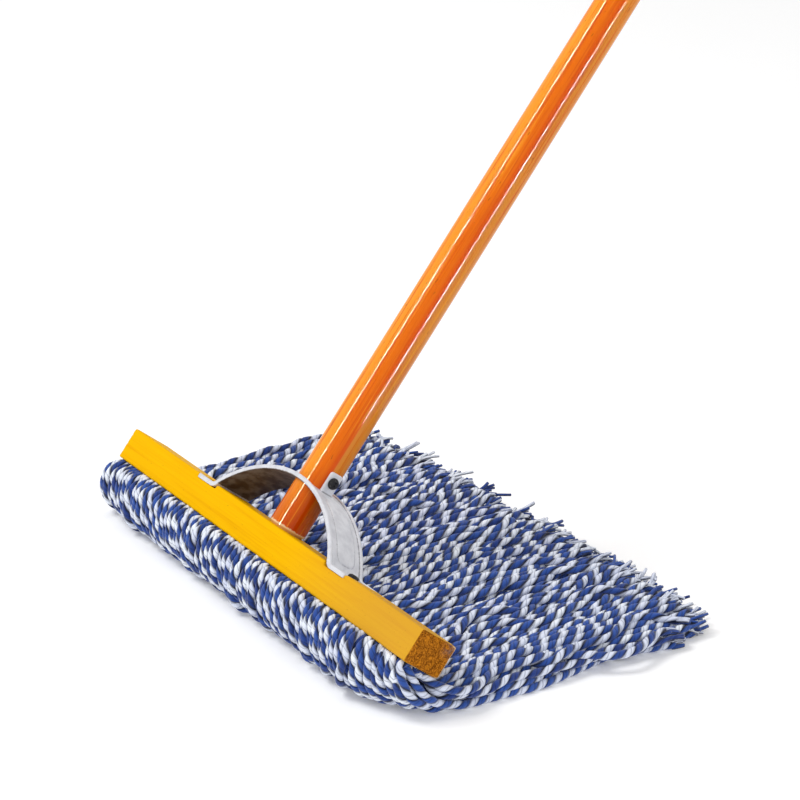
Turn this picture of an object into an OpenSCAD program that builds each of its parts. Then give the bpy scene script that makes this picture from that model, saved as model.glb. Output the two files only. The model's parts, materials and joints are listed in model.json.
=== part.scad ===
// Flat cotton mop: a wooden cross bar on a long leaning pole, stiffened by a pressed steel arch,
// with a hank of two-ply cotton yarn nipped under the bar and trailing behind it on the floor.
//
// X runs along the bar, +Y is the way the yarn trails, +Z is up. The origin is on the floor,
// straight below the middle of the bar.

/* [Bar] */
// Length of the wooden bar
bar_l = 350; // [320:1:420]
// Depth of the bar, across its top face
bar_d = 30; // [28:0.5:32]
// Height of the bar, along the pole
bar_h = 22; // [20:0.5:24]
// Height of the bar's centre line above the floor
bar_z = 40; // [39:0.5:44]
// Width of the worn bevel along the bar's long edges
bar_bevel = 0.8; // [0.4:0.1:1.5]

/* [Pole] */
// Angle of the pole above the floor
lean = 51; // [45:1:60]
// Diameter of the pole
pole_d = 25; // [24:0.5:26]
// Length of the pole
pole_l = 1200; // [900:10:1400]
// Bevel round the pole's lower end
pole_bevel = 2; // [1:0.5:3]
// Diameter of the hole the mop hangs by
hang_d = 6; // [5:0.5:8]
// Distance of the hanging hole from the pole's upper end
hang_inset = 30; // [20:1:50]

/* [Arch bracket] */
// Width between the arch's two bends
arch_chord = 139; // [125:1:150]
// Height of the arch's underside above the bar
arch_rise = 32; // [28:1:36]
// Thickness of the sheet
sheet_t = 2; // [1.5:0.1:2.5]
// Thickness of the rolled edges, and depth of the rebates that the feet sit in
rim_t = 3; // [2.6:0.1:3.4]
// Width of the rolled edges
rim_w = 2.2; // [1.8:0.1:2.8]
// Length of a foot, outwards from the bend
foot_l = 19; // [17:1:24]
// Radius of the bend, on the side of the bar
bend_r = 7; // [5:0.5:8]
// Height of the raised panels on the legs
panel_t = 0.6; // [0.4:0.1:0.9]
// Width of the tab that is bent up along the pole
tab_w = 10; // [8:0.5:12]
// Height of the tab above the arch
tab_h = 13; // [12:0.5:16]

/* [Screws] */
// Head diameter of the tab screw and the foot screws
head_d = 7.5; // [6:0.5:8]
// Shank diameter of the tab screw and the foot screws
shank_d = 3.2; // [3:0.1:4]
// Shank diameter of the long screw into the pole's end
end_shank_d = 5; // [4:0.5:6]
// Number of screws that pull the batten up
batten_screw_count = 4; // [3:1:6]

/* [Batten] */
// Length of the batten that nips the yarn
batten_l = 336; // [300:1:340]
// Depth of the batten
batten_d = 18; // [16:0.5:18]
// Height of the batten
batten_h = 5; // [4:0.5:5]
// Thickness of the nipped yarn between the bar and the batten
nip_t = 4; // [3:0.5:4]

/* [Yarn] */
// Width of the yarn, along the bar
yarn_w = 356; // [340:1:370]
// Number of bundles across the yarn's width
hank_count = 10; // [6:1:12]
// Gap between neighbouring bundles
hank_gap = 0.5; // [0.3:0.1:1]
// Distance from the origin to the fringe, halfway along the bar
reach_mid = 196; // [150:1:240]
// Extra reach of each bundle over its neighbour on the -X side
reach_step = 2.5; // [0:0.5:4]
// Height of the yarn just behind the bar
skirt_h = 19; // [15:0.5:20]
// Height of the yarn near the fringe
fringe_h = 15; // [8:0.5:16]
// Radius of the front roll
roll_r = 22.5; // [21:0.5:24]

/* [Hidden] */
$fn = 96;

// Clearance round every screw and pin in its hole, on the radius
fit = 0.06;
// Overlap that makes a cut run clean through a face
cut = 1;
// Room past the end of a foot in its rebate, and over a screw head in its recess
recess_gap = 0.4;

// Heights along the pole, measured from the bar's centre line
bar_top = bar_h / 2;
foot_under = bar_top - rim_t;
crown_under = bar_top + arch_rise;
pole_top = bar_top + pole_l;
batten_top = -bar_top - nip_t;
batten_under = batten_top - batten_h;

// The arch: an arc through the crown that reaches the foot's level half a chord away
arch_sag = crown_under - foot_under;
arch_r = (pow(arch_chord / 2, 2) + pow(arch_sag, 2)) / (2 * arch_sag);
arch_c = crown_under - arch_r;
// The bend's centre lies outside the arch, one bend radius above the rebate's floor
bend_w = foot_under + bend_r;
bend_x = sqrt(pow(arch_r + bend_r, 2) - pow(bend_w - arch_c, 2));
leg_angle = atan2(bend_x, bend_w - arch_c);
foot_end = arch_chord / 2 + foot_l;
// The rebate starts a little inside the bend
rebate_start = arch_chord / 2 - 3.5;
// Flats that each half of the arc and each bend are drawn with
arc_steps = 20;
bend_steps = 7;
// Clearance of the pole in the arch's crown
crown_fit = 0.2;
// Gap between the flat tab and the round pole
tab_gap = 0.3;
tab_x = pole_d / 2 + tab_gap;
tab_top = crown_under + sheet_t + tab_h;
tab_corner_r = 2;
// The tab's root goes down into the arch, and its screw sits a little below its top
tab_root = crown_under - 0.4;
tab_screw_w = tab_top - 6.5;
// Where a raised panel starts and ends along a leg, its depth and its corners
panel_in = 25;
panel_out = 67.5;
panel_d = 15;
panel_r = 4;

// The tab screw and the foot screws
head_h = 2.6;
tab_shank_l = 11;
foot_screw_x = foot_end - 9;
foot_shank_l = 14;
// The long screw into the pole's end, whose head is sunk into the bar
end_head_d = 10;
end_head_h = 3;
end_screw_l = 55;
end_recess = 4;
// The batten's screws
batten_shank_d = 3;
batten_head_d = 6;
batten_head_h = 1.6;
batten_shank_l = 13;
batten_screw_inset = 25;
batten_screw_pitch = (batten_l - 2 * batten_screw_inset) / (batten_screw_count - 1);

// The yarn on the floor is cut back to a round cradle that the bar can rock in
cradle_r = 22.6;
// Middle of the front roll, which the floor flattens a little, and where the roll's solid ends
roll_y = -11;
roll_z = roll_r - 1.5;
roll_back = 12;
// How far the roll and the nipped stretch stay inside the yarn's width at each end
roll_inset = 2;
nip_inset = 8;
// Depth of the nipped stretch, and its clearance under the bar
nip_d = 26;
nip_gap = 0.1;
hank_pitch = yarn_w / hank_count;
// Slope at the top of the fringe
fringe_round = 9;

function hank_name(i) = str("yarn_hank_", i < 9 ? "0" : "", i + 1);
function hank_x(i) = (i + 0.5) * hank_pitch - yarn_w / 2;
function hank_reach(i) = reach_mid + reach_step * (i - (hank_count - 1) / 2);
function batten_screw_x(i) = (i - (batten_screw_count - 1) / 2) * batten_screw_pitch;

function backwards(points) = [for (i = [len(points) - 1 : -1 : 0]) points[i]];
function arc_point(h, a) = [(arch_r + h) * cos(a), arch_c + (arch_r + h) * sin(a)];
function bend_point(h, a) = [bend_x + (bend_r - h) * cos(a), bend_w + (bend_r - h) * sin(a)];
// The +X half of a line that stays h above the arch's underside: arc, bend and foot
function half_line(h, past) = concat(
    [for (i = [0 : arc_steps - 1]) arc_point(h, 90 - leg_angle * i / arc_steps)],
    [for (i = [0 : bend_steps]) bend_point(h, 270 - leg_angle * (1 - i / bend_steps))],
    [[foot_end + past, foot_under + h]]
);
// The whole line, from the end of one foot to the end of the other
function strip_line(h, past) = let(half = half_line(h, past))
    concat(
        [for (i = [len(half) - 1 : -1 : 1]) [-half[i][0], half[i][1]]],
        half
    );

// ---- Frames and shared shapes

// The head's own frame: X along the bar, Y down and back across it, Z up the pole
module at_head()
    translate([0, 0, bar_z])
        rotate([lean - 90, 0, 0])
            children();

// A profile drawn in X and height, drawn out across the bar's depth
module across(depth)
    rotate([90, 0, 0])
        linear_extrude(height = depth, center = true)
            children();

// A profile drawn in Y and height, drawn out along X
module along(length)
    rotate([90, 0, 90])
        linear_extrude(height = length, center = true)
            children();

// A rectangle with round corners, centred
module round_rect(width, depth, corner) {
    square([width - 2 * corner, depth], center = true);
    square([width, depth - 2 * corner], center = true);
    for (x = [-1, 1], y = [-1, 1])
        translate([x * (width / 2 - corner), y * (depth / 2 - corner)])
            circle(corner);
}

// A pan-headed screw pointing down from the origin, with its head above
module pan_screw(d, length, head, height) {
    point = d;
    rotate_extrude()
        polygon([
            [0, height],
            [head * 0.28, height],
            [head * 0.44, height * 0.75],
            [head / 2, height * 0.35],
            [head / 2, 0],
            [d / 2, 0],
            [d / 2, point - length],
            [0, -length]
        ]);
}

// The hole such a screw goes into
module pilot(d, length)
    translate([0, 0, -length - 0.5])
        cylinder(d = d + 2 * fit, h = length + 0.5 + cut);

// Turns a screw or its hole to point inwards through the tab
module at_tab(x)
    translate([x, 0, tab_screw_w])
        rotate([0, 90, 0])
            children();

// ---- Wood

module pole_profile() {
    r = pole_d / 2;
    dome = 6;
    polygon(concat(
        [[0, 0], [r - pole_bevel, 0], [r, pole_bevel * 0.8]],
        [for (a = [0 : 10 : 90]) [r - dome + dome * cos(a), pole_l - dome + dome * sin(a)]],
        [[0, pole_l]]
    ));
}

module handle_pole()
    color("darkorange")
        at_head()
            difference() {
                translate([0, 0, bar_top])
                    rotate_extrude()
                        pole_profile();
                translate([0, 0, pole_top - hang_inset])
                    rotate([0, 90, 0])
                        cylinder(d = hang_d, h = pole_d + 2 * cut, center = true);
                at_tab(pole_d / 2)
                    pilot(shank_d, tab_shank_l);
                translate([0, 0, bar_top - cut])
                    cylinder(d = end_shank_d + 2 * fit, h = end_screw_l - bar_h + cut);
            }

module bar_section() {
    y = bar_d / 2;
    z = bar_h / 2;
    b = bar_bevel;
    polygon([
        [b - y, -z], [y - b, -z], [y, b - z], [y, z - b],
        [y - b, z], [b - y, z], [-y, z - b], [-y, b - z]
    ]);
}

module foot_rebate()
    translate([rebate_start, -bar_d / 2 - cut, foot_under])
        cube([foot_end + recess_gap - rebate_start, bar_d + 2 * cut, rim_t + cut]);

module mop_bar()
    color("gold")
        at_head()
            difference() {
                along(bar_l)
                    bar_section();
                foot_rebate();
                mirror([1, 0, 0])
                    foot_rebate();
                for (x = [-foot_screw_x, foot_screw_x])
                    translate([x, 0, foot_under])
                        pilot(shank_d, foot_shank_l);
                cylinder(d = end_shank_d + 2 * fit, h = bar_h + 2 * cut, center = true);
                translate([0, 0, -bar_top - cut])
                    cylinder(d = end_head_d + 4 * fit, h = end_recess + cut);
                for (i = [0 : batten_screw_count - 1])
                    translate([batten_screw_x(i), 0, -bar_top - cut])
                        cylinder(d = batten_shank_d + 2 * fit, h = batten_shank_l + cut);
            }

module clamp_batten()
    color("burlywood")
        at_head()
            difference() {
                translate([0, 0, batten_top - batten_h / 2])
                    cube([batten_l, batten_d, batten_h], center = true);
                for (i = [0 : batten_screw_count - 1])
                    translate([batten_screw_x(i), 0, batten_under - cut]) {
                        cylinder(d = batten_shank_d + 2 * fit, h = batten_h + 2 * cut);
                        cylinder(d = batten_head_d + 2 * fit, h = batten_head_h + recess_gap + cut);
                    }
            }

// ---- Steel

// The arch's profile between two heights above its underside
module strip(from, to, past = 0)
    polygon(concat(strip_line(from, past), backwards(strip_line(to, past))));

// A pressed panel with round corners that stands proud of one leg
module leg_panel()
    intersection() {
        across(panel_d)
            strip(sheet_t / 2, sheet_t + panel_t);
        translate([(panel_in + panel_out) / 2, 0, 0])
            linear_extrude(height = crown_under + rim_t)
                round_rect(panel_out - panel_in, panel_d, panel_r);
    }

module tab()
    translate([tab_x, 0, 0])
        rotate([90, 0, 90])
            linear_extrude(height = sheet_t) {
                translate([-tab_w / 2, tab_root])
                    square([tab_w, tab_top - tab_root - tab_corner_r]);
                translate([tab_corner_r - tab_w / 2, tab_root])
                    square([tab_w - 2 * tab_corner_r, tab_top - tab_root]);
                for (y = [-1, 1])
                    translate([y * (tab_w / 2 - tab_corner_r), tab_top - tab_corner_r])
                        circle(tab_corner_r);
            }

module arch_bracket()
    color("silver")
        at_head()
            difference() {
                union() {
                    difference() {
                        across(bar_d)
                            strip(0, rim_t);
                        across(bar_d - 2 * rim_w)
                            strip(sheet_t, rim_t + cut, cut);
                    }
                    leg_panel();
                    mirror([1, 0, 0])
                        leg_panel();
                    tab();
                }
                translate([0, 0, foot_under])
                    cylinder(r = pole_d / 2 + crown_fit, h = 2 * arch_sag);
                for (x = [-foot_screw_x, foot_screw_x])
                    translate([x, 0, foot_under + sheet_t])
                        pilot(shank_d + 0.4, sheet_t + cut);
                at_tab(tab_x + sheet_t)
                    pilot(shank_d + 0.2, sheet_t + cut);
            }

module tab_screw()
    color("black")
        at_head()
            at_tab(tab_x + sheet_t)
                pan_screw(shank_d, tab_shank_l, head_d, head_h);

module foot_screws()
    color("black")
        at_head()
            for (x = [-foot_screw_x, foot_screw_x])
                translate([x, 0, foot_under + sheet_t])
                    pan_screw(shank_d, foot_shank_l, head_d, head_h);

module pole_end_screw()
    color("dimgray")
        at_head()
            translate([0, 0, -bar_top + end_recess])
                mirror([0, 0, 1])
                    pan_screw(end_shank_d, end_screw_l - end_recess - cut, end_head_d, end_head_h);

module batten_screws()
    color("dimgray")
        at_head()
            for (i = [0 : batten_screw_count - 1])
                translate([batten_screw_x(i), 0, batten_under + batten_head_h + recess_gap])
                    mirror([0, 0, 1])
                        pan_screw(batten_shank_d, batten_shank_l, batten_head_d, batten_head_h);

// ---- Yarn

// The stretch of yarn that the batten holds against the bar
module nipped_yarn()
    color("steelblue")
        at_head()
            difference() {
                translate([0, 0, -bar_top - nip_t / 2])
                    cube([yarn_w - 2 * nip_inset, nip_d, nip_t - nip_gap], center = true);
                cylinder(d = end_head_d, h = 3 * bar_h, center = true);
                for (i = [0 : batten_screw_count - 1])
                    translate([batten_screw_x(i), 0, 0])
                        cylinder(d = batten_shank_d + recess_gap, h = 3 * bar_h, center = true);
            }

// The front roll: yarn that leaves the nip forwards and turns under the bar
module yarn_roll()
    color("steelblue")
        along(yarn_w - 2 * roll_inset)
            difference() {
                intersection() {
                    union() {
                        translate([roll_y, roll_z])
                            circle(roll_r);
                        translate([roll_y, 0])
                            square([roll_back - roll_y, skirt_h]);
                    }
                    translate([roll_back - 3 * roll_r, 0])
                        square(3 * roll_r);
                }
                translate([0, bar_z])
                    circle(cradle_r);
            }

// One bundle of the trailing skirt, from the roll to its fringe
module yarn_hank(i)
    color(i % 2 == 0 ? "lightsteelblue" : "steelblue")
        translate([hank_x(i), 0, 0])
            along(hank_pitch - hank_gap)
                polygon([
                    [roll_back, 0],
                    [hank_reach(i), 0],
                    [hank_reach(i), fringe_h - fringe_round],
                    [hank_reach(i) - fringe_round, fringe_h],
                    [roll_back, skirt_h]
                ]);

handle_pole();
mop_bar();
arch_bracket();
tab_screw();
foot_screws();
pole_end_screw();
clamp_batten();
batten_screws();
nipped_yarn();
yarn_roll();
for (i = [0 : hank_count - 1])
    yarn_hank(i);
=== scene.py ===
"""Looks for a flat cotton mop: a painted bar and a lacquered pole over a mat of two-ply yarn."""

import json
import math

import bpy
import numpy as np
from mathutils import Matrix, Vector, noise


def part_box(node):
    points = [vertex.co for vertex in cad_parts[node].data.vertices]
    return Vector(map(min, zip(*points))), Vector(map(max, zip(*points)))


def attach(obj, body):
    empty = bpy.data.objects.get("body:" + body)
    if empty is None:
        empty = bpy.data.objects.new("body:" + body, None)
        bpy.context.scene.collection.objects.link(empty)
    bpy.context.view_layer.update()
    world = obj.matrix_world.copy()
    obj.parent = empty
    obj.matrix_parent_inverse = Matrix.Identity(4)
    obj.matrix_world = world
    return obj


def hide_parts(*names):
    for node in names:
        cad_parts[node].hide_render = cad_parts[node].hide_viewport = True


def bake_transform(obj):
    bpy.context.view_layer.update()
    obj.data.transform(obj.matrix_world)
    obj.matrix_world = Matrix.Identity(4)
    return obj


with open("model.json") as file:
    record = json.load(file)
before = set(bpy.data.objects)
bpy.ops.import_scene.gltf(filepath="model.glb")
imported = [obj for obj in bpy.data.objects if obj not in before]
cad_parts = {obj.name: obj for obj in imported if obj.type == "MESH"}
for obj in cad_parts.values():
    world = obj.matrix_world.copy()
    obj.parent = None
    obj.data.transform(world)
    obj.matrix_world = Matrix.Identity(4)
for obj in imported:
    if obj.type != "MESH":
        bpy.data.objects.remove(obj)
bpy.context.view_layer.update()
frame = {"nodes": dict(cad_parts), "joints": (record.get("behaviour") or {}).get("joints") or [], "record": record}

MM = 0.001
X_AXIS = np.array((1.0, 0.0, 0.0))
HEAD = "mop_head"

# ---- The head's own frame: X along the bar, V back and down across it, W up the pole

hinge = np.array(frame["joints"][0]["pos_m"])
hang_hole = next(m for m in frame["record"]["mounts"] if m["name"] == "hang_hole")
pole_axis = np.array(hang_hole["pos_m"]) - hinge
pole_axis /= np.linalg.norm(pole_axis)
across_bar = np.cross(pole_axis, X_AXIS)
lean = math.atan2(pole_axis[2], pole_axis[1])


def head_point(x, v, w):
    """A place given in millimetres in the head's frame, in metres in the row frame."""
    return hinge + (x * X_AXIS + v * across_bar + w * pole_axis) * MM


def mesh_points(mesh):
    """A mesh's vertices as an array."""
    points = np.empty(len(mesh.vertices) * 3)
    mesh.vertices.foreach_get("co", points)
    return points.reshape(-1, 3)


def mesh_normals(mesh):
    """A mesh's vertex normals as an array."""
    normals = np.empty(len(mesh.vertices) * 3)
    mesh.vertices.foreach_get("normal", normals)
    return normals.reshape(-1, 3)


def head_extent(node, direction):
    """Lowest and highest reach of a CAD node along one of the head's directions, in millimetres."""
    along = (mesh_points(frame["nodes"][node].data) - hinge) @ direction / MM
    return along.min(), along.max()


BAR_HALF_L = head_extent("mop_bar", X_AXIS)[1]
BAR_HALF_D = head_extent("mop_bar", across_bar)[1]
BAR_TOP = head_extent("mop_bar", pole_axis)[1]
BATTEN_HALF_L = head_extent("clamp_batten", X_AXIS)[1]
BATTEN_HALF_D = head_extent("clamp_batten", across_bar)[1]
BATTEN_LOW, BATTEN_TOP = head_extent("clamp_batten", pole_axis)

# ---- Camera, lights and floor


def place_camera():
    """A long lens that looks down on the mop from beyond its +X end, fitted to the photograph."""
    azimuth, elevation = math.radians(57.2), math.radians(22.74)
    aim = Vector((0.0196, 0.0789, 0.1276))
    distance = 1.9165
    focal_length_mm, sensor_width_mm = 138.8, 36
    forward = Vector((
        -math.sin(azimuth) * math.cos(elevation),
        math.cos(azimuth) * math.cos(elevation),
        -math.sin(elevation),
    ))
    data = bpy.data.cameras.new("camera")
    data.lens = focal_length_mm
    data.sensor_width = sensor_width_mm
    data.clip_start = 0.05
    camera = bpy.data.objects.new("camera", data)
    bpy.context.scene.collection.objects.link(camera)
    camera.location = aim - distance * forward
    camera.rotation_euler = forward.to_track_quat("-Z", "Y").to_euler()
    bpy.context.scene.camera = camera
    return forward


def area_light(name, place, target, size, power, tall=None, along=None):
    """A soft rectangular light that faces its target, with its tall side along a direction."""
    data = bpy.data.lights.new(name, "AREA")
    data.shape = "RECTANGLE"
    data.size = size
    data.size_y = tall or size
    data.energy = power
    light = bpy.data.objects.new(name, data)
    bpy.context.scene.collection.objects.link(light)
    light.location = place
    away = (Vector(place) - Vector(target)).normalized()
    if along is None:
        light.rotation_euler = away.to_track_quat("Z", "Y").to_euler()
    else:
        y = (Vector(along) - away * away.dot(Vector(along))).normalized()
        light.rotation_euler = Matrix((y.cross(away), y, away)).transposed().to_euler()
    light.visible_camera = False
    light.visible_glossy = False
    return light


def strip_light(name, middle, view, degrees, distance, width, length, power, colour, lacquered):
    """A strip along the pole that shows only in its lacquer, some degrees round from its middle."""
    side = np.cross(pole_axis, view)
    side /= np.linalg.norm(side)
    # A reflection turns by twice the surface's own turn
    turn = math.radians(2 * degrees)
    toward = math.cos(turn) * view + math.sin(turn) * side
    place = middle + distance * toward
    strip = area_light(name, place, middle, width, power, length, pole_axis)
    strip.data.color = colour
    strip.visible_diffuse = False
    strip.visible_glossy = True
    strip.light_linking.receiver_collection = lacquered
    return strip


def place_lights(forward):
    """White surroundings, a key and a side light, and two strips for the lines along the pole."""
    world = bpy.data.worlds.new("surroundings")
    bpy.context.scene.world = world
    world.use_nodes = True
    background = world.node_tree.nodes["Background"]
    background.inputs["Color"].default_value = (1.0, 1.0, 1.0, 1)
    background.inputs["Strength"].default_value = 0.68
    area_light("key", (-0.8, -1.25, 2.5), (0, 0.05, 0.05), size=1.1, power=38)
    area_light("side", (2.2, -0.6, 1.3), (0, 0.1, 0.1), size=1.0, power=9)
    view = -np.array(forward)
    strips_up_the_pole = 330
    middle = head_point(0, 0, strips_up_the_pole)
    lacquered = bpy.data.collections.new("lacquered")
    lacquered.objects.link(frame["nodes"]["handle_pole"])
    cream, white = (1.0, 0.86, 0.6), (1.0, 1.0, 1.0)
    strip_light(
        "left_strip", middle, view, degrees=-27, distance=1.5, width=0.055, length=2.2, power=75,
        colour=cream, lacquered=lacquered,
    )
    strip_light(
        "right_strip", middle, view, degrees=25, distance=1.0, width=0.03, length=1.5, power=26,
        colour=white, lacquered=lacquered,
    )


def place_floor():
    """A plain pale floor, 24 m square."""
    half = 12
    mesh = bpy.data.meshes.new("floor")
    corners = [(-half, -half, 0), (half, -half, 0), (half, half, 0), (-half, half, 0)]
    mesh.from_pydata(corners, [], [(0, 1, 2, 3)])
    floor = bpy.data.objects.new("floor", mesh)
    bpy.context.scene.collection.objects.link(floor)
    floor.data.materials.append(floor_paint())


# ---- Materials


def new_material(name):
    """A material with one Principled shader, and the two of them."""
    material = bpy.data.materials.new(name)
    material.use_nodes = True
    return material, material.node_tree.nodes["Principled BSDF"]


def linear(red, green, blue):
    """An 8-bit sRGB colour as a linear one."""
    shares = [c / 255 for c in (red, green, blue)]
    return tuple(c / 12.92 if c <= 0.04045 else ((c + 0.055) / 1.055) ** 2.4 for c in shares) + (1.0,)


def add_node(material, kind, inputs=(), **settings):
    """Adds a node and returns its first output. Inputs are (name or number, a value or a socket to link)."""
    tree = material.node_tree
    made = tree.nodes.new(kind)
    for key, value in settings.items():
        setattr(made, key, value)
    for key, value in inputs:
        if isinstance(value, bpy.types.NodeSocket):
            tree.links.new(value, made.inputs[key])
        else:
            made.inputs[key].default_value = value
    return made.outputs[0]


def math_node(material, operation, first, second=0.0, clamp=False):
    return add_node(
        material, "ShaderNodeMath", [(0, first), (1, second)], operation=operation, use_clamp=clamp
    )


def plus(material, first, second):
    return math_node(material, "ADD", first, second)


def times(material, first, second):
    return math_node(material, "MULTIPLY", first, second)


def scaled(material, vector, scale):
    """A vector socket multiplied by three numbers."""
    return add_node(
        material, "ShaderNodeVectorMath", [(0, vector), (1, scale)], operation="MULTIPLY"
    )


def noise_node(material, vector, scale, detail=3.0, rough=0.55):
    return add_node(
        material,
        "ShaderNodeTexNoise",
        [("Vector", vector), ("Scale", scale), ("Detail", detail), ("Roughness", rough)],
    )


def step_node(material, value, low, high):
    """A smooth step from 0 at low to 1 at high."""
    return add_node(
        material,
        "ShaderNodeMapRange",
        [("Value", value), ("From Min", low), ("From Max", high)],
        interpolation_type="SMOOTHSTEP",
    )


def mix_colours(material, share, first, second):
    """First where share is 0, second where it is 1."""
    tree = material.node_tree
    made = tree.nodes.new("ShaderNodeMix")
    made.data_type = "RGBA"
    for socket, value in ((made.inputs[0], share), (made.inputs[6], first), (made.inputs[7], second)):
        if isinstance(value, bpy.types.NodeSocket):
            tree.links.new(value, socket)
        else:
            socket.default_value = value
    return made.outputs[2]


def tinted(material, colour, share, most, tint):
    """A colour moved towards a tint, by most where share is 1."""
    return mix_colours(material, times(material, share, most), colour, tint)


def bump(material, shader, height, strength, distance):
    """Gives the shader a bump map."""
    normal = add_node(
        material,
        "ShaderNodeBump",
        [("Height", height), ("Strength", strength), ("Distance", distance)],
    )
    link(material, normal, shader.inputs["Normal"])


def link(material, socket, target):
    material.node_tree.links.new(socket, target)


def set_inputs(shader, **values):
    """Sets constants on the shader's own sockets. A _ in a name stands for a space."""
    for name, value in values.items():
        shader.inputs[name.replace("_", " ")].default_value = value


def attribute(material, name):
    """The value of a mesh attribute."""
    made = material.node_tree.nodes.new("ShaderNodeAttribute")
    made.attribute_name = name
    return made.outputs["Fac"]


def coordinates(material, kind):
    """Places on the object, of one kind: Object or UV."""
    return material.node_tree.nodes.new("ShaderNodeTexCoord").outputs[kind]


def head_coordinates(material):
    """Places in the head's frame, in metres, with X along the bar and Z up the pole."""
    moved = add_node(
        material,
        "ShaderNodeVectorMath",
        [(0, coordinates(material, "Object")), (1, tuple(hinge))],
        operation="SUBTRACT",
    )
    return add_node(
        material,
        "ShaderNodeVectorRotate",
        [("Vector", moved), ("Angle", math.pi / 2 - lean)],
        rotation_type="X_AXIS",
    )


def split(material, vector):
    """The three parts of a vector socket."""
    made = material.node_tree.nodes.new("ShaderNodeSeparateXYZ")
    link(material, vector, made.inputs[0])
    return made.outputs


def floor_paint():
    material, shader = new_material("pale_floor")
    patches = noise_node(material, coordinates(material, "Object"), 2.0, 2.0)
    colour = mix_colours(material, patches, (0.93, 0.93, 0.93, 1), (0.96, 0.96, 0.96, 1))
    link(material, colour, shader.inputs["Base Color"])
    set_inputs(shader, Roughness=0.9, Specular_IOR_Level=0.1)
    set_inputs(shader, Emission_Color=(1, 1, 1, 1), Emission_Strength=0.12)
    return material


def lacquered_pine():
    """Orange lacquer over pine, with long growth lines and a bare bevel at the foot."""
    material, shader = new_material("lacquered_pine_look")
    place = head_coordinates(material)
    x, v, w = split(material, place)
    # Bands across the pole paint its light and shade as seen from one side: lighter on the left, redder past the
    # middle, a duller ochre at the right edge. Measured in metres from the pole's middle
    across = plus(material, times(material, x, 0.64), times(material, v, 0.77))
    left = step_node(material, across, -0.0045, -0.0070)
    red = step_node(material, across, 0.0005, 0.0045)
    right = step_node(material, across, 0.0050, 0.0062)
    # Painted shadow: the pole darkens to a deep red towards its foot, in the arch's shade
    foot = step_node(material, w, 0.060, 0.012)
    colour = mix_colours(material, left, linear(226, 106, 0), linear(240, 146, 36))
    colour = mix_colours(material, red, colour, linear(222, 84, 2))
    colour = mix_colours(material, right, colour, linear(222, 136, 40))
    colour = tinted(material, colour, foot, 0.65, linear(184, 52, 0))
    stretched = scaled(material, place, (1.0, 1.0, 0.02))
    streaks = noise_node(material, stretched, 700, 4.0, 0.65)
    colour = tinted(material, colour, step_node(material, streaks, 0.48, 0.7), 0.75, linear(206, 74, 0))
    pale = step_node(material, noise_node(material, stretched, 420, 3.0), 0.54, 0.72)
    colour = tinted(material, colour, pale, 0.65, linear(246, 162, 36))
    dots = noise_node(material, scaled(material, place, (1, 1, 0.25)), 700, 1.0)
    colour = tinted(material, colour, step_node(material, dots, 0.72, 0.78), 0.5, linear(120, 50, 4))
    # The lacquer ends just above the bevel, in a ragged line
    bevel_top = (BAR_TOP + 3.2) * MM
    ragged = plus(material, w, times(material, streaks, 0.0036))
    bare = step_node(material, ragged, bevel_top + 0.0015, bevel_top + 0.0010)
    colour = mix_colours(material, bare, colour, linear(232, 196, 150))
    link(material, colour, shader.inputs["Base Color"])
    set_inputs(shader, Roughness=0.6, Specular_IOR_Level=0.0)
    set_inputs(shader, Coat_Weight=1.0, Coat_IOR=1.3, Coat_Roughness=0.02)
    waves = noise_node(material, scaled(material, place, (1.0, 1.0, 0.16)), 170, 2.0)
    bump(material, shader, plus(material, waves, times(material, streaks, 0.2)), 0.06, 0.0004)
    return material


def end_grain_wood(material, place, v, w, pores):
    """Rough end grain: dark pores, a grey stain at the upper back corner and a broken pale edge."""
    blotch = noise_node(material, place, 160, 3.0)
    pored = step_node(material, pores, 0.38, 0.66)
    wood = mix_colours(material, pored, linear(96, 50, 8), linear(206, 128, 34))
    wood = tinted(material, wood, step_node(material, blotch, 0.5, 0.7), 0.6, linear(216, 136, 30))
    corner = times(material, step_node(material, v, 0.002, 0.013), step_node(material, w, 0.0, 0.009))
    stained = times(material, corner, step_node(material, blotch, 0.38, 0.6))
    wood = tinted(material, wood, stained, 0.75, linear(94, 98, 108))
    upper_back = step_node(material, v, 0.006, 0.014)
    broken = step_node(material, times(material, attribute(material, "wear"), upper_back), 0.45, 0.7)
    return mix_colours(material, broken, wood, linear(236, 196, 140))


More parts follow.
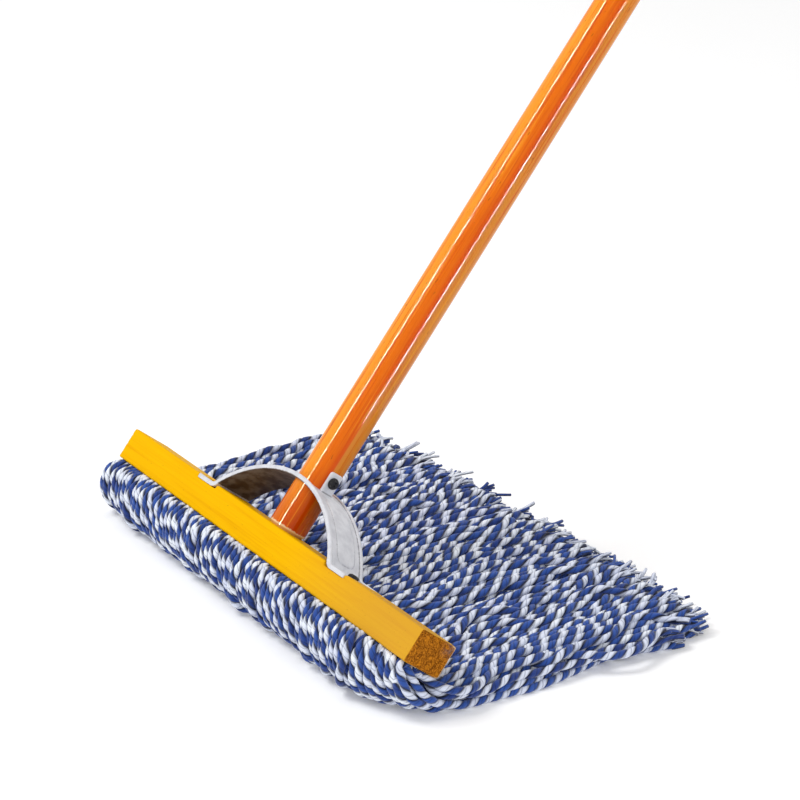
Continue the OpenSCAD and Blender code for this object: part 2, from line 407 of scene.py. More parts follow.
def painted_wood():
    """Yellow paint over sawn wood, chipped along its edges, with rough bare end grain."""
    material, shader = new_material("painted_wood_look")
    place = head_coordinates(material)
    x, v, w = split(material, place)
    grain = noise_node(material, scaled(material, place, (0.02, 1.0, 1.0)), 520, 4.0, 0.6)
    broad = noise_node(material, scaled(material, place, (0.12, 1.0, 1.0)), 60, 2.0)
    sunk = step_node(material, grain, 0.4, 0.9)
    colour = mix_colours(material, sunk, linear(238, 180, 2), linear(222, 152, 0))
    colour = tinted(material, colour, step_node(material, broad, 0.45, 0.8), 0.35, linear(224, 156, 0))
    # Darker and duller towards the bar's +X end
    darker_towards_plus_x = step_node(material, x, 0.02, 0.15)
    colour = tinted(material, colour, darker_towards_plus_x, 0.6, linear(198, 146, 58))
    specks = step_node(material, noise_node(material, place, 620, 2.0), 0.7, 0.76)
    colour = tinted(material, colour, specks, 0.5, linear(150, 95, 25))
    uneven = plus(material, noise_node(material, place, 420, 3.0), 0.35)
    chipped = step_node(material, times(material, attribute(material, "wear"), uneven), 0.74, 0.82)
    colour = mix_colours(material, chipped, colour, linear(240, 208, 140))
    pores = noise_node(material, place, 1300, 3.0, 0.75)
    ragged = times(material, plus(material, pores, -0.5), 0.8)
    bled = step_node(material, plus(material, attribute(material, "end_grain"), ragged), 0.35, 0.6)
    colour = mix_colours(material, bled, colour, end_grain_wood(material, place, v, w, pores))
    link(material, colour, shader.inputs["Base Color"])
    rough = mix_colours(material, bled, (0.5, 0.5, 0.5, 1), (0.85, 0.85, 0.85, 1))
    link(material, rough, shader.inputs["Roughness"])
    set_inputs(shader, Specular_IOR_Level=0.02)
    height = plus(material, grain, times(material, times(material, pores, bled), 2.0))
    bump(material, shader, height, 0.3, 0.0004)
    return material


def bare_wood():
    """Planed wood for the batten, in dark browns."""
    material, shader = new_material("bare_wood_look")
    place = head_coordinates(material)
    grain = noise_node(material, scaled(material, place, (0.04, 1.0, 1.0)), 480, 4.0)
    bands = step_node(material, grain, 0.35, 0.7)
    colour = mix_colours(material, bands, linear(128, 100, 74), linear(92, 70, 52))
    link(material, colour, shader.inputs["Base Color"])
    set_inputs(shader, Roughness=0.75)
    bump(material, shader, grain, 0.3, 0.0003)
    return material


def zinc_steel():
    """Light satin zinc, brushed and dull in patches, with painted grey shade in its folds and painted dark brown
    shade and reflection under the arch.
    """
    material, shader = new_material("zinc_steel_look")
    place = head_coordinates(material)
    brushing = noise_node(material, scaled(material, place, (1.0, 0.05, 1.0)), 700, 3.0)
    patches = noise_node(material, place, 130, 3.0)
    dull = step_node(material, patches, 0.35, 0.7)
    colour = mix_colours(material, dull, linear(230, 231, 236), linear(212, 213, 219))
    pits = step_node(material, noise_node(material, place, 1500, 2.0), 0.66, 0.74)
    colour = tinted(material, colour, pits, 0.35, linear(170, 170, 175))
    # Painted shade and reflection under the arch, in two dark browns
    spots = step_node(material, patches, 0.4, 0.62)
    painted_underside_shade = mix_colours(material, spots, linear(72, 57, 50), linear(112, 103, 97))
    # Painted shade: grey in the creases round the pressed panel
    colour = tinted(material, colour, attribute(material, "painted_crease_shade"), 0.85, linear(112, 112, 118))
    colour = mix_colours(material, attribute(material, "underside"), colour, painted_underside_shade)
    link(material, colour, shader.inputs["Base Color"])
    rough = mix_colours(material, patches, (0.42, 0.42, 0.42, 1), (0.58, 0.58, 0.58, 1))
    link(material, rough, shader.inputs["Roughness"])
    set_inputs(shader, Metallic=0.3)
    bump(material, shader, plus(material, brushing, patches), 0.18, 0.0002)
    return material


def screw_metal(name, first, second, metallic, rough):
    """A screw's finish, with fine grain and small worn patches."""
    material, shader = new_material(name)
    place = head_coordinates(material)
    worn = noise_node(material, place, 900, 3.0)
    colour = mix_colours(material, step_node(material, worn, 0.5, 0.75), first, second)
    link(material, colour, shader.inputs["Base Color"])
    set_inputs(shader, Metallic=metallic, Roughness=rough)
    bump(material, shader, worn, 0.2, 0.0001)
    return material


def cotton_ply(name, main, second, dark):
    """One ply of the cord: three fine yarns twisted together, which leave slanting grooves, and fibres. Its dark
    colour is painted shade, in the grooves and on the side towards the other ply.
    """
    material, shader = new_material(name)
    u, v, unused = split(material, coordinates(material, "UV"))
    # Three grooves lie round the ply, and slant on by one groove for each unit of u along it
    twist = plus(material, times(material, v, 3 * math.pi), times(material, u, math.pi))
    yarns = math_node(material, "ABSOLUTE", math_node(material, "COSINE", twist))
    fibres = noise_node(material, coordinates(material, "Object"), 1700, 3.0, 0.7)
    spread = times(material, plus(material, fibres, -0.5), 0.5)
    tone = math_node(material, "ADD", attribute(material, "tone"), spread, True)
    colour = mix_colours(material, tone, main, second)
    # Painted shade in the grooves between the fine yarns
    groove = times(material, step_node(material, yarns, 0.6, 0.0), 0.45)
    # The side at v = 0.5 faces the other ply, and painted shade darkens it there
    off_middle = math_node(material, "ABSOLUTE", plus(material, v, -0.5))
    painted_inner_shade = times(material, step_node(material, off_middle, 0.42, 0.17), 0.95)
    colour = mix_colours(material, math_node(material, "MAXIMUM", groove, painted_inner_shade), colour, dark)
    link(material, colour, shader.inputs["Base Color"])
    set_inputs(shader, Roughness=0.95, Specular_IOR_Level=0.15)
    set_inputs(shader, Sheen_Weight=0.25, Sheen_Roughness=0.6)
    bump(material, shader, plus(material, yarns, times(material, fibres, 0.6)), 0.7, 0.0003)
    return material


# ---- Wood and steel


def shown_mesh(obj):
    """The mesh that an object shows with its modifiers, as a new mesh."""
    graph = bpy.context.evaluated_depsgraph_get()
    return bpy.data.meshes.new_from_object(obj.evaluated_get(graph))


def reworked(node, name, modifiers):
    """A copy of a CAD node's mesh under a new name, with modifiers applied."""
    obj = bpy.data.objects.new(name, frame["nodes"][node].data.copy())
    bpy.context.scene.collection.objects.link(obj)
    for kind, settings in modifiers:
        modifier = obj.modifiers.new(kind.lower(), kind)
        for key, value in settings.items():
            setattr(modifier, key, value)
    mesh = shown_mesh(obj)
    obj.modifiers.clear()
    obj.data = mesh
    mesh.name = name
    mesh.materials.clear()
    return obj


def softened(node, name, voxel, rounds):
    """A CAD node's shape with softly rounded edges, on an even mesh."""
    remesh = {"mode": "VOXEL", "voxel_size": voxel * MM, "use_smooth_shade": True}
    smooth = {"factor": 0.5, "iterations": rounds}
    return reworked(node, name, [("REMESH", remesh), ("SMOOTH", smooth)])


def stands_for(obj, slot_name, material, *nodes):
    """Puts a rigid piece on the head in place of CAD nodes."""
    obj.data.materials.append(material)
    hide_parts(*nodes)
    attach(obj, HEAD)


def set_attribute(mesh, name, values):
    made = mesh.attributes.new(name, "FLOAT", "POINT")
    made.data.foreach_set("value", np.asarray(values, np.float32))


def make_bar():
    """The painted bar: slightly uneven faces, worn edges and rough sawn ends."""
    worn_band, end_band, end_blend = 2.2, 0.9, 0.6
    unevenness, end_roughness, nick_depth = 0.10, 0.22, 0.35
    bar = softened("mop_bar", "painted_bar", 0.85, 2)
    mesh = bar.data
    points = mesh_points(mesh)
    normals = mesh_normals(mesh)
    local = (points - hinge) / MM
    x = local @ X_AXIS
    v = local @ across_bar
    w = local @ pole_axis
    depth_in = BAR_HALF_D - np.abs(v)
    height_in = BAR_TOP - np.abs(w)
    round_the_end = np.hypot(BAR_HALF_L - np.abs(x), np.minimum(depth_in, height_in))
    edge = np.minimum(np.hypot(depth_in, height_in), round_the_end)
    wear = np.clip(1 - edge / worn_band, 0, 1)
    end = np.clip((np.abs(x) - BAR_HALF_L + end_band) / end_blend, 0, 1)
    swell = np.array([noise.noise(Vector(p) * 28) for p in points])
    rough = np.array([noise.noise(Vector(p) * 900) for p in points])
    nick = np.array([noise.noise(Vector(p) * 160) for p in points])
    push = unevenness * swell + end * end_roughness * rough - nick_depth * wear * np.clip(nick, 0, 1)
    points = points + normals * push[:, None] * MM
    mesh.vertices.foreach_set("co", points.ravel())
    mesh.update()
    set_attribute(mesh, "wear", wear)
    set_attribute(mesh, "end_grain", end)
    stands_for(bar, "painted_wood", painted_wood(), "mop_bar")


def hollows(mesh, normals):
    """How far each vertex lies below the middle of its neighbours, in millimetres, smoothed."""
    points = mesh_points(mesh)
    total = len(points)
    ends = np.empty(len(mesh.edges) * 2, np.int32)
    mesh.edges.foreach_get("vertices", ends)
    first, second = ends.reshape(-1, 2).T
    count = np.bincount(first, minlength=total) + np.bincount(second, minlength=total)
    height = ((points[second] - points[first]) * normals[first]).sum(1)
    depth = np.bincount(first, height, total)
    height = ((points[first] - points[second]) * normals[second]).sum(1)
    depth = (depth + np.bincount(second, height, total)) / count
    for unused in range(2):
        near = np.bincount(first, depth[second], total) + np.bincount(second, depth[first], total)
        depth = (depth + near / count) / 2
    return depth / MM


def make_bracket():
    """The pressed arch with its folded edges rounded over, and marks for its underside and creases, where shade is
    painted.
    """
    bracket = softened("arch_bracket", "zinc_arch", 0.45, 2)
    mesh = bracket.data
    normals = mesh_normals(mesh)
    local = (mesh_points(mesh) - hinge) / MM
    x = local @ X_AXIS
    w = local @ pole_axis - BAR_TOP
    facing = (normals @ X_AXIS * x + normals @ pole_axis * w) / np.maximum(np.hypot(x, w), 1)
    # Where painted shade goes: the arch's underside, and the hollows of its creases
    set_attribute(mesh, "underside", smooth_step(-facing, 0.1, 0.5) * (w > 1))
    set_attribute(mesh, "painted_crease_shade", smooth_step(hollows(mesh, normals), 0.008, 0.038))
    stands_for(bracket, "zinc_steel", zinc_steel(), "arch_bracket")


def cross_cutter(tops, direction, sideways):
    """Crossed tapered blades that cut a cross recess into each screw head."""
    forward = np.cross(direction, sideways)
    corners = []
    faces = []
    long_half, thin_half, above, depth, taper = 2.1, 0.45, 0.4, 1.3, 0.45
    for top in tops:
        for long_way, thin_way in ((sideways, forward), (forward, sideways)):
            first = len(corners)
            for w, scale in ((above, 1.0), (-depth, taper)):
                for a, b in ((-1, -1), (1, -1), (1, 1), (-1, 1)):
                    place = a * long_half * scale * long_way + b * thin_half * thin_way + w * direction
                    corners.append(top + place * MM)
            faces += [[first + k for k in quad] for quad in (
                (0, 1, 2, 3), (7, 6, 5, 4), (0, 4, 5, 1), (1, 5, 6, 2), (2, 6, 7, 3), (3, 7, 4, 0)
            )]
    mesh = bpy.data.meshes.new("cutter")
    mesh.from_pydata([tuple(c) for c in corners], [], faces)
    cutter = bpy.data.objects.new("cutter", mesh)
    bpy.context.scene.collection.objects.link(cutter)
    return cutter


def make_screws(node, name, tops, direction, sideways, material):
    """Pan heads with a cross recess and a softened rim."""
    cutter = cross_cutter(tops, direction, sideways)
    rounding = {"width": 0.25 * MM, "segments": 3, "limit_method": "ANGLE"}
    cut = {"operation": "DIFFERENCE", "object": cutter, "solver": "EXACT", "use_self": True}
    screws = reworked(node, name, [("BEVEL", rounding), ("BOOLEAN", cut)])
    bpy.data.objects.remove(cutter)
    stands_for(screws, "black_screw", material, node)


def finish_cad_nodes():
    """Procedural materials on the CAD nodes that stay in view or stay hidden inside."""
    plain_screw = screw_metal("plain_screw_look", linear(150, 150, 154), linear(104, 104, 108), 0.9, 0.4)
    looks = {
        "handle_pole": lacquered_pine(),
        "clamp_batten": bare_wood(),
        "pole_end_screw": plain_screw,
        "batten_screws": plain_screw,
    }
    for node, material in looks.items():
        obj = frame["nodes"][node]
        for slot in obj.material_slots:
            slot.material = material
        if not obj.material_slots:
            obj.data.materials.append(material)


def make_head():
    """Everything rigid: bar, arch and screws, and looks for the CAD nodes that stay."""
    black = screw_metal("black_screw_look", linear(40, 40, 42), linear(84, 82, 82), 0.5, 0.45)
    make_bar()
    make_bracket()
    low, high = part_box("tab_screw")
    tab_top = np.array((high.x, (low.y + high.y) / 2, (low.z + high.z) / 2))
    make_screws("tab_screw", "tab_screw_black", [tab_top], X_AXIS, pole_axis, black)
    points = mesh_points(frame["nodes"]["foot_screws"].data)
    foot_x = (points[:, 0].max() + points[points[:, 0] > 0, 0].min()) / 2 / MM
    foot_w = head_extent("foot_screws", pole_axis)[1]
    tops = [head_point(x, 0, foot_w) for x in (-foot_x, foot_x)]
    make_screws("foot_screws", "foot_screws_black", tops, pole_axis, X_AXIS, black)
    finish_cad_nodes()


# ---- Yarn: every cord is a line first, in millimetres, and becomes two twisted plies at the end

PLY_R = 1.4
PLY_OFFSET = 1.25  # from the cord's line to the middle of a ply
PLY_SQUASH = 1.5  # a ply's width round the cord, over its thickness
CORD_D = 2 * (PLY_OFFSET + PLY_R)
PITCH = 14.5  # along the cord, for one turn of the two plies
FIBRE_TURN = 9.0  # along a ply, for its slanting grooves to move on by one
FRAY_LENGTH = 8
POINT_STEP = 3.6  # between the points of a line while it settles
TOUCH_D = 4.7  # between the lines of two cords that touch
FLOOR_GAP = 2.5  # under the line of a cord that lies on the floor
ROLL_Y, ROLL_Z = -13.0, 21.0  # the middle of the front roll
ROLL_INSET = 4.6  # from the roll's outer layer to its inner one
EDGE_TURN_R = 9.0  # the outer layer's turn over the bar's lower front edge
SKIRT_Y = 22.0  # where the cords start to lie flat behind the bar
CORDS_PER_LAYER = 75
GROUPS = 5  # of undeclared cords side by side, each as wide as two CAD hanks
EDGE_FROM, EDGE_WIDTH = 0.79, 0.21  # shares of the half width: where the end cords begin
ROUNDED_CORNER = 24  # how much shorter the fringe is at its two corners
# How far the cords at the roll's (-X, +X) ends take the short way, in the outer and inner layer
SHORT_SHARES = ((0.1, 1.0), (1.0, 0.45))
BUNCHES = ((27, 1.7), (44, 2.8), (85, 4.2))  # wavelength along the bar and sideways drift
BUNCH_SLANT = 330  # along a cord, for a bunch to pass over to the next

# Every random number comes from here, so the yarn is the same each run
draws = np.random.default_rng(20)


def head_yz(v, w):
    """A place in the head's frame as (y, z) in millimetres."""
    return head_point(0, v, w)[1:] / MM


def arc(centre, radius, start, end, count):
    """Points of an arc in the YZ plane, with angles in degrees from +Y towards +Z."""
    turns = np.radians(np.linspace(start, end, count))
    return np.column_stack((centre[0] + radius * np.cos(turns), centre[1] + radius * np.sin(turns)))


def front_route(outer, height):
    """From the nip forwards over the bar's lower edge, round the front roll and back under the bar."""
    inset = 0 if outer else ROLL_INSET
    turn_r = EDGE_TURN_R - 0.6 * inset
    out = head_yz(-9, -13.0) if outer else head_yz(-7, -14.5)
    top = out - turn_r * np.array((pole_axis[1], pole_axis[2]))
    return np.vstack((
        head_yz(2, -13.0),
        head_yz(-4, -13.0),
        arc(top, turn_r, math.degrees(lean), 155, 5),
        arc((ROLL_Y, ROLL_Z), ROLL_Z - FLOOR_GAP - inset, 165, 270, 7),
        (4.0, height),
    ))


def short_route(route, height):
    """The way a cord at the bar's very end takes: straight down and back, with no roll."""
    share = np.linspace(0, 1, len(route) - 2)[:, None]
    leave = head_yz(-5, -14.0)
    land = np.array((SKIRT_Y - 8, height + 2))
    sag = np.array((-3.0, -5.0)) * np.sin(math.pi * share)
    return np.vstack((route[:2], leave + (land - leave) * share + sag))


def rear_route(upper):
    """From the nip backwards and down onto the cords that come from the front."""
    if upper:
        return np.vstack((head_yz(-2, -13.0), head_yz(6, -13.2), head_yz(13, -14.2), (10.0, 16.8)))
    return np.vstack((head_yz(-2, -13.4), head_yz(5, -13.8), head_yz(11, -15.4), (6.0, 13.4)))


def smooth_line(points, step):
    """A smooth curve through the points, with its own points one step apart."""
    ends = np.vstack((2 * points[0] - points[1], points, 2 * points[-1] - points[-2]))
    share = np.linspace(0, 1, 8, endpoint=False)[:, None]
    parts = []
    for p0, p1, p2, p3 in zip(ends, ends[1:], ends[2:], ends[3:]):
        parts.append(0.5 * (
            2 * p1 + (p2 - p0) * share
            + (2 * p0 - 5 * p1 + 4 * p2 - p3) * share**2
            + (3 * p1 - p0 - 3 * p2 + p3) * share**3
        ))
    dense = np.vstack(parts + [points[-1:]])
    length = np.concatenate(([0], np.cumsum(np.linalg.norm(np.diff(dense, axis=0), axis=1))))
    count = max(3, int(round(length[-1] / step)) + 1)
    places = np.linspace(0, length[-1], count)
    return np.column_stack([np.interp(places, length, dense[:, k]) for k in range(dense.shape[1])])


def smooth_step(values, low, high):
    """0 at low and beyond it, 1 at high and beyond it, and a smooth change between them."""
    share = np.clip((values - low) / (high - low), 0, 1)
    return share * share * (3 - 2 * share)


def yarn_extent():
    """Half the yarn's width, and the fringe's reach at its -X and +X ends, in millimetres."""
    first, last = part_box("yarn_hank_01"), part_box("yarn_hank_10")
    return last[1].x / MM, first[1].y / MM, last[1].y / MM


def wander(places, amplitude, wavelength):
    """A smooth random sideways drift along a cord."""
    drift = np.zeros(len(places))
    for share, scale in ((1.0, 1.0), (0.45, 0.43)):
        phase = draws.uniform(0, 2 * math.pi)
        drift += share * np.sin(2 * math.pi * places / (wavelength * scale) + phase)
    return amplitude * drift


def bunching(x, places, phases):
    """The drift that neighbouring cords share, which draws them together in bunches."""
    drift = np.zeros(len(places))
    for (wavelength, amplitude), phase in zip(BUNCHES, phases):
        drift += amplitude * np.sin(2 * math.pi * (x / wavelength + places / BUNCH_SLANT) + phase)
    return drift


def lay_cord(layer, route, behind, fringe, share, phases, extent):
    """One cord's line before it is pushed off its neighbours, with share 0 at -X and 1 at +X."""
    half_width, far_reach, near_reach = extent
    x = half_width * (2 * share - 1)
    edge = np.clip((abs(x) - EDGE_FROM * half_width) / (EDGE_WIDTH * half_width), 0, 1)
    reach = far_reach + (near_reach - far_reach) * share - ROUNDED_CORNER * edge**3
    reach += draws.uniform(-15, -3) + (draws.uniform(2, 7) if draws.random() < 0.12 else 0)
    skirt_y = np.linspace(SKIRT_Y, reach, 7)
    skirt_z = behind + (fringe - behind) * (skirt_y - SKIRT_Y) / (reach - SKIRT_Y)
    if layer < 2:
        short = short_route(route, behind)
        short_share = SHORT_SHARES[layer][int(x > 0)]
        route = short + (1 - short_share * edge**1.4) * (route - short)
    line = smooth_line(np.vstack((route, np.column_stack((skirt_y, skirt_z)))), POINT_STEP)
    places = np.arange(len(line)) * POINT_STEP
    loose = np.clip((places - 8) / 50, 0, 1)
    stray = draws.uniform(4.5, 8.5) if draws.random() < 0.28 else 1.9
    side = wander(places, stray, draws.uniform(110, 200)) * loose
    side += bunching(x, places, phases) * loose * (1 - edge)
    lift = wander(places, 1.1, draws.uniform(60, 120)) * loose
    # The nip draws the cords together, and the end cords spread past it and towards the fringe
    nipped = 1 - 0.024 * smooth_step(places, 26, 4)
    bulge = 5 * smooth_step(places, 10, 34) + 8 * smooth_step(line[:, 0], 90, 180)
    bulge *= math.copysign(edge**2, x)
    return np.column_stack((x * nipped + side + bulge, line[:, 0], line[:, 1] + lift))


def lay_cords():
    """The four layers of cords as lines that may still touch: (layer, line) for each cord."""
    half_width, far_reach, near_reach = yarn_extent()
    extent = (half_width - CORD_D / 2, far_reach, near_reach)
    # Each layer's route, and its cords' heights behind the bar and at the fringe
    layers = [
        (front_route(outer=True, height=FLOOR_GAP), FLOOR_GAP, FLOOR_GAP),
        (front_route(outer=False, height=6.8), 6.8, 6.4),
        (rear_route(upper=False), 11.0, 10.0),
        (rear_route(upper=True), 15.4, 13.6),
    ]
    cords = []
    for layer, (route, behind, fringe) in enumerate(layers):
        phases = draws.uniform(0, 2 * math.pi, 3)
        for k in range(CORDS_PER_LAYER):
            share = (k + 0.5 + draws.uniform(-0.3, 0.3)) / CORDS_PER_LAYER
            cords.append((layer, lay_cord(layer, route, behind, fringe, share, phases, extent)))
    return cords


def near_pairs(points, cord, reach):
    """Pairs of points of different cords that are closer together than reach."""
    cell = np.floor(points / reach).astype(np.int64)
    cell -= cell.min(0) - 1
    size = cell.max(0) + 2
    key = (cell[:, 0] * size[1] + cell[:, 1]) * size[2] + cell[:, 2]
    order = np.argsort(key, kind="stable")
    ordered = key[order]
    found = []
    # A point's own cell and half of the 26 round it, so that each pair is found once
    for a in (0, 1):
        for b in ((0, 1) if a == 0 else (-1, 0, 1)):
            for c in ((0, 1) if a == b == 0 else (-1, 0, 1)):
                other = key + (a * size[1] + b) * size[2] + c
                start = np.searchsorted(ordered, other, "left")
                count = np.searchsorted(ordered, other, "right") - start
                first = np.repeat(np.arange(len(points)), count)
                within = np.arange(count.sum()) - np.repeat(np.cumsum(count) - count, count)
                second = order[np.repeat(start, count) + within]
                if a == b == c == 0:
                    keep = first < second
                    first, second = first[keep], second[keep]
                found.append(np.column_stack((first, second)))
    pairs = np.vstack(found)
    pairs = pairs[cord[pairs[:, 0]] != cord[pairs[:, 1]]]
    gaps = np.linalg.norm(points[pairs[:, 0]] - points[pairs[:, 1]], axis=1)
    return pairs[gaps < reach]


def push_out_of_box(points, free, half_l, v_half, w_low, w_high, margin):
    """Moves free points out of a block along X, the shortest way, and keeps them a margin off it."""
    local = points - hinge / MM
    v, w = local @ across_bar, local @ pole_axis
    back, front = v_half - v, v_half + v
    above, below = w_high - w, w - w_low
    ways = np.column_stack((back, front, above, below)) + margin
    inside = free & (ways.min(1) > 0) & (np.abs(local[:, 0]) < half_l + margin)
    steps = np.vstack((across_bar, -across_bar, pole_axis, -pole_axis))
    way = ways[inside].argmin(1)
    points[inside] += steps[way] * ways[inside].min(1)[:, None]


def relax_cords(cords, rounds):
    """Pushes touching cords apart, lets them settle on each other, and keeps each one's length and flow."""
    push_share, pull_share, flow_share = 0.38, 0.24, 0.25
    sink, hold_share = 0.03, 0.012
    pairs_every, pairs_reach = 6, TOUCH_D + 1.5
    front_y = 20
    bar_margin, batten_margin = 2.4, 2.8
    lengths = [len(line) for layer, line in cords]
    cord = np.repeat(np.arange(len(cords)), lengths)
    layer = np.repeat([layer for layer, line in cords], lengths)
    home = np.vstack([line for unused, line in cords])
    points = home.copy()
    starts = np.cumsum([0] + lengths[:-1])
    linked = np.flatnonzero(cord[:-1] == cord[1:])
    inner = linked[1:][np.diff(linked) == 1]
    held = np.zeros(len(points), bool)
    held[starts] = held[starts + 1] = held[starts + 2] = True
    free = ~held
    rest = np.linalg.norm(home[linked + 1] - home[linked], axis=1)
    total = len(points)
    for turn in range(rounds):
        if turn % pairs_every == 0:
            first, second = near_pairs(points, cord, pairs_reach).T
        # Touching cords push each other away
        gap = points[second] - points[first]
        distance = np.maximum(np.linalg.norm(gap, axis=1), 1e-6)
        close = np.clip(TOUCH_D - distance, 0, None)
        shift = gap / distance[:, None] * (push_share * close)[:, None]
        hits = (np.bincount(first, close > 0, total) + np.bincount(second, close > 0, total)).clip(1)
        for k in range(3):
            moved = np.bincount(second, shift[:, k], total) - np.bincount(first, shift[:, k], total)
            points[:, k] += free * moved / np.sqrt(hits)
        # Each cord goes back to its length
        for unused in range(2):
            span = points[linked + 1] - points[linked]
            length = np.linalg.norm(span, axis=1)
            pull = span * (pull_share * (length - rest) / np.maximum(length, 1e-6))[:, None]
            for k in range(3):
                points[:, k] += free * np.bincount(linked, pull[:, k], total)
                points[:, k] -= free * np.bincount(linked + 1, pull[:, k], total)
        # Neighbouring points move together, the mat sinks, and the front roll is held in place
        off = points - home
        middle_off = (off[inner - 1] + off[inner + 1]) / 2
        points[inner] += flow_share * free[inner, None] * (middle_off - off[inner])
        points[:, 2] -= sink * free * (points[:, 1] > front_y)
        in_front = (home[:, 1] < front_y)[:, None]
        points[:, 1:] -= hold_share * free[:, None] * (points - home)[:, 1:] * in_front
        push_out_of_box(points, free, BAR_HALF_L, BAR_HALF_D, -BAR_TOP, BAR_TOP, bar_margin)
        push_out_of_box(points, free, BATTEN_HALF_L, BATTEN_HALF_D, BATTEN_LOW, BATTEN_TOP, batten_margin)
        points[:, 2] = np.maximum(points[:, 2], FLOOR_GAP)
    return [(cords[k][0], points[starts[k]:starts[k] + lengths[k]]) for k in range(len(cords))]


def unit(vectors):
    return vectors / np.maximum(np.linalg.norm(vectors, axis=-1, keepdims=True), 1e-9)


def tube(line, radius, squash, sides, hint, tone, colour):
    """A closed tube along a line, widened sideways: its rings, the length along it, its tone and colour."""
    tangent = unit(np.gradient(line, axis=0))
    out = unit(hint - (hint * tangent).sum(1)[:, None] * tangent)
    other = np.cross(tangent, out)
    turn = 2 * math.pi * np.arange(sides) / sides
    other *= np.asarray(squash)[:, None]
    around = np.cos(turn)[None, :, None] * out[:, None] + np.sin(turn)[None, :, None] * other[:, None]
    rings = line[:, None] + np.asarray(radius)[:, None, None] * around
    step = np.linalg.norm(np.diff(line, axis=0), axis=1)
    along = np.concatenate(([0], np.cumsum(step)))
    return rings, along, tone, colour


def loose_ends(ply, heading, count, spill, tone, colour):
    """The fine yarns that splay out of a ply's cut end. A small spill keeps them close together."""
    direction = unit(heading + spill * 0.7 * (unit(ply[-1] - ply[-4]) - heading))
    made = []
    for k in range(count):
        length = FRAY_LENGTH + spill * draws.uniform(-2, 5)
        splay = spill * draws.normal(0, 0.24, 3) * (1, 1, 0.6)
        curl = spill * draws.normal(0, 1.2, 3) * (1, 1, 0.5)
        start = ply[-3] + draws.normal(0, 0.45, 3)
        places = np.linspace(0, 1, 6)[:, None]
        line = start + (direction + splay * places) * length * places + curl * places**2
        line[:, 2] -= 0.8 * places[:, 0] ** 2
        line[:, 2] = np.maximum(line[:, 2], 0.9)
        radius = draws.uniform(0.9, 1.15) * np.array((0.7, 1.0, 1.0, 1.0, 1.0, 0.95))
        hint = np.tile((0.3, 0.2, 0.93), (6, 1))
        made.append(tube(line, radius, np.ones(6), 6, hint, tone, colour))
    return made


def twisted_cord(line, fine, spill):
    """Two plies round a line, which loosen and fray towards its free end."""
    step, sides = (1.5, 10) if fine else (2.3, 8)
    line = smooth_line(line, step)
    places = np.arange(len(line)) * np.linalg.norm(line[1] - line[0])
    loosened = np.clip((places - places[-1] + draws.uniform(6, 18)) / 13, 0, 1)
    slack = 1 + 0.12 * np.sin(places / draws.uniform(9, 16) + draws.uniform(0, 6))
    rate = 2 * math.pi / (PITCH * draws.uniform(0.8, 1.3)) * slack * (1 - 0.8 * loosened)
    phase = draws.uniform(0, 2 * math.pi) - np.cumsum(rate) * (places[1] - places[0])
    tangent = unit(np.gradient(line, axis=0))
    side = unit(X_AXIS - (tangent @ X_AXIS)[:, None] * tangent)
    below = np.cross(tangent, side)
    spread = PLY_OFFSET * (1 + spill * draws.uniform(0.1, 0.9) * loosened**2)
    made = []
    for colour in (0, 1):
        angle = phase + math.pi * colour
        out = np.cos(angle)[:, None] * side + np.sin(angle)[:, None] * below
        ply = line + spread[:, None] * out
        ply += (loosened**2)[:, None] * spill * draws.normal(0, 0.8, 3) * (1, 1, 0.5)
        ply[:, 2] = np.maximum(ply[:, 2], PLY_R)
        ply = ply[:len(ply) - draws.integers(0, 4)]
        count = len(ply)
        radius = PLY_R * (1 + 0.06 * np.sin(places[:count] / 2.3 + draws.uniform(0, 6)))
        radius *= 1 - 0.2 * loosened[:count]
        radius[-1] *= 0.6
        radius[0] *= 0.7
        squash = PLY_SQUASH + (1 - PLY_SQUASH) * loosened[:count]
        tone = draws.uniform(0.0, 1.0)
        made.append(tube(ply, radius, squash, sides, out[:count], tone, colour))
        frayed = 3 if spill < 1 else 4
        made += loose_ends(ply, unit(line[-1] - line[-4]), frayed, spill, tone, colour)
    return made


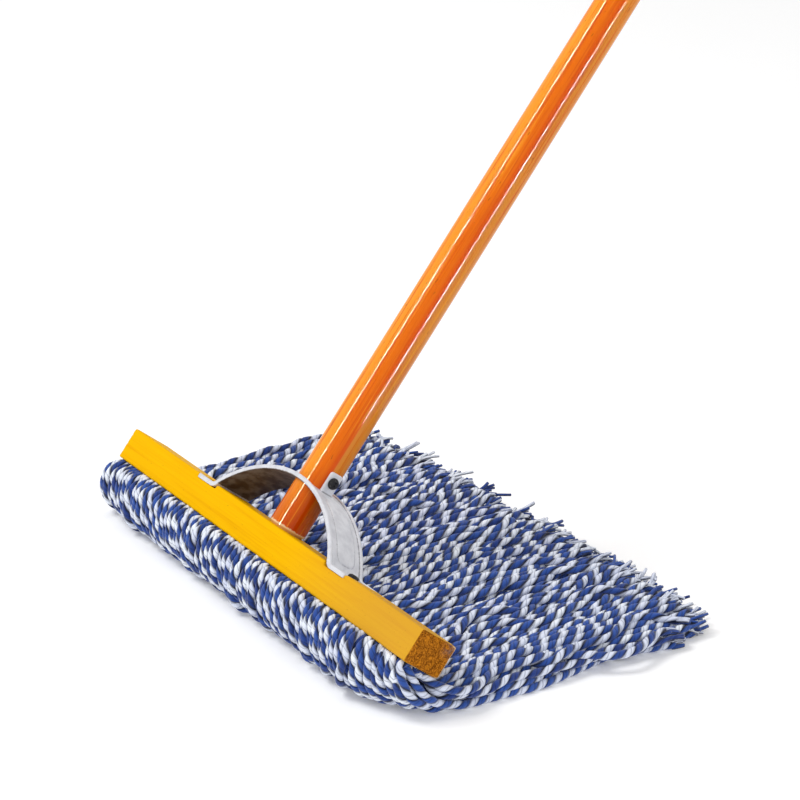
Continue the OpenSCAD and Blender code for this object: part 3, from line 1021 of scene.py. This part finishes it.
def mesh_of_tubes(name, tubes):
    """One mesh of tubes closed by flat caps, with a UV map along and round each, and a tone for each."""
    corners, quads, uvs, tones, caps, kinds = [], [], [], [], [], []
    first = 0
    for rings, along, tone, colour in tubes:
        count, sides = rings.shape[:2]
        ring, side = np.meshgrid(np.arange(count - 1), np.arange(sides), indexing="ij")
        ring, side = ring.ravel(), side.ravel()
        after = (side + 1) % sides
        quads.append(first + np.column_stack((
            ring * sides + side, ring * sides + after, (ring + 1) * sides + after, (ring + 1) * sides + side
        )))
        turn = np.column_stack((side, side + 1, side + 1, side)) / sides
        length = np.column_stack((along[ring], along[ring], along[ring + 1], along[ring + 1])) / FIBRE_TURN
        uvs.append(np.stack((length, turn), axis=2).reshape(-1, 2))
        caps.append((first + np.arange(sides)[::-1], colour))
        caps.append((first + (count - 1) * sides + np.arange(sides), colour))
        kinds.append(np.full(len(ring), colour))
        corners.append(rings.reshape(-1, 3))
        tones.append(np.full(count * sides, tone))
        first += count * sides
    quads = np.vstack(quads)
    cap_corners = np.concatenate([c for c, colour in caps])
    cap_sizes = np.array([len(c) for c, colour in caps])
    mesh = bpy.data.meshes.new(name)
    mesh.vertices.add(first)
    mesh.vertices.foreach_set("co", (np.vstack(corners) * MM).ravel())
    mesh.loops.add(quads.size + len(cap_corners))
    mesh.loops.foreach_set("vertex_index", np.concatenate((quads.ravel(), cap_corners)).astype(np.int32))
    mesh.polygons.add(len(quads) + len(caps))
    begins = np.concatenate((np.arange(len(quads)) * 4, quads.size + np.cumsum(cap_sizes) - cap_sizes))
    mesh.polygons.foreach_set("loop_start", begins.astype(np.int32))
    mesh.polygons.foreach_set("use_smooth", np.ones(len(begins), bool))
    colours = np.concatenate(kinds + [np.array([colour for c, colour in caps])])
    mesh.polygons.foreach_set("material_index", colours.astype(np.int32))
    mesh.update(calc_edges=True)
    layer = mesh.uv_layers.new(name="along")
    flat = np.concatenate((np.vstack(uvs), np.zeros((len(cap_corners), 2))))
    layer.data.foreach_set("uv", flat.astype(np.float32).ravel())
    set_attribute(mesh, "tone", np.concatenate(tones))
    obj = bpy.data.objects.new(name, mesh)
    bpy.context.scene.collection.objects.link(obj)
    return obj


def bend_with_head(obj, front):
    """Bakes the yarn's placement into its mesh, the same in front and behind."""
    if front:
        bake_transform(obj)
    else:
        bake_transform(obj)


def yarn_piece(name, tubes, looks, front):
    """One piece of yarn with its looks."""
    obj = mesh_of_tubes(name, tubes)
    for look in looks:
        obj.data.materials.append(look)
    bend_with_head(obj, front)
    return obj


def declare_cord(name, tubes, looks, front):
    """A free cord as a piece of its own."""
    obj = yarn_piece(name, tubes, looks, front)


def declared(layer, place):
    """Whether a cord is made as a piece by itself: the outermost in each layer, and every third on top."""
    return place in (0, CORDS_PER_LAYER - 1) or (layer == 3 and place % 3 == 1 and place > 1)


def make_yarn():
    """All the cords: most in groups of one colour, and the ones most in view as pieces one by one."""
    # The last colour of each ply is its painted shade
    blue = cotton_ply("blue_cotton", linear(27, 55, 126), linear(45, 84, 166), linear(5, 9, 34))
    white = cotton_ply("white_cotton", linear(214, 221, 241), linear(240, 246, 255), linear(26, 33, 70))
    looks = (blue, white)
    rounds = 80
    cords = relax_cords(lay_cords(), rounds)
    groups = {}
    for index, (layer, line) in enumerate(cords):
        place = index % CORDS_PER_LAYER
        front = layer < 2
        fine = layer in (0, 3) or place < 3 or place >= CORDS_PER_LAYER - 3
        single = declared(layer, place)
        # A cord made as a piece by itself keeps its frayed end close together
        spill = 0.2 if single else 1.0
        tubes = twisted_cord(line, fine, spill)
        if single:
            declare_cord(f"yarn_cord_{layer + 1}_{place + 1:02d}", tubes, looks, front)
            continue
        group = place * GROUPS // CORDS_PER_LAYER + 1
        for piece in tubes:
            groups.setdefault((front, group, piece[3]), []).append(piece)
    for (front, group, colour), tubes in sorted(groups.items()):
        name = f"yarn_{'front' if front else 'back'}_{('blue', 'white')[colour]}_{group}"
        tubes = [(rings, along, tone, 0) for rings, along, tone, colour in tubes]
        obj = yarn_piece(name, tubes, (looks[colour],), front)
        if front:
            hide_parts("yarn_roll", "nipped_yarn")
        else:
            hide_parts(f"yarn_hank_{2 * group - 1:02d}", f"yarn_hank_{2 * group:02d}")


forward = place_camera()
place_lights(forward)
place_floor()
make_yarn()
make_head()

bpy.context.scene.view_settings.view_transform = "Standard"
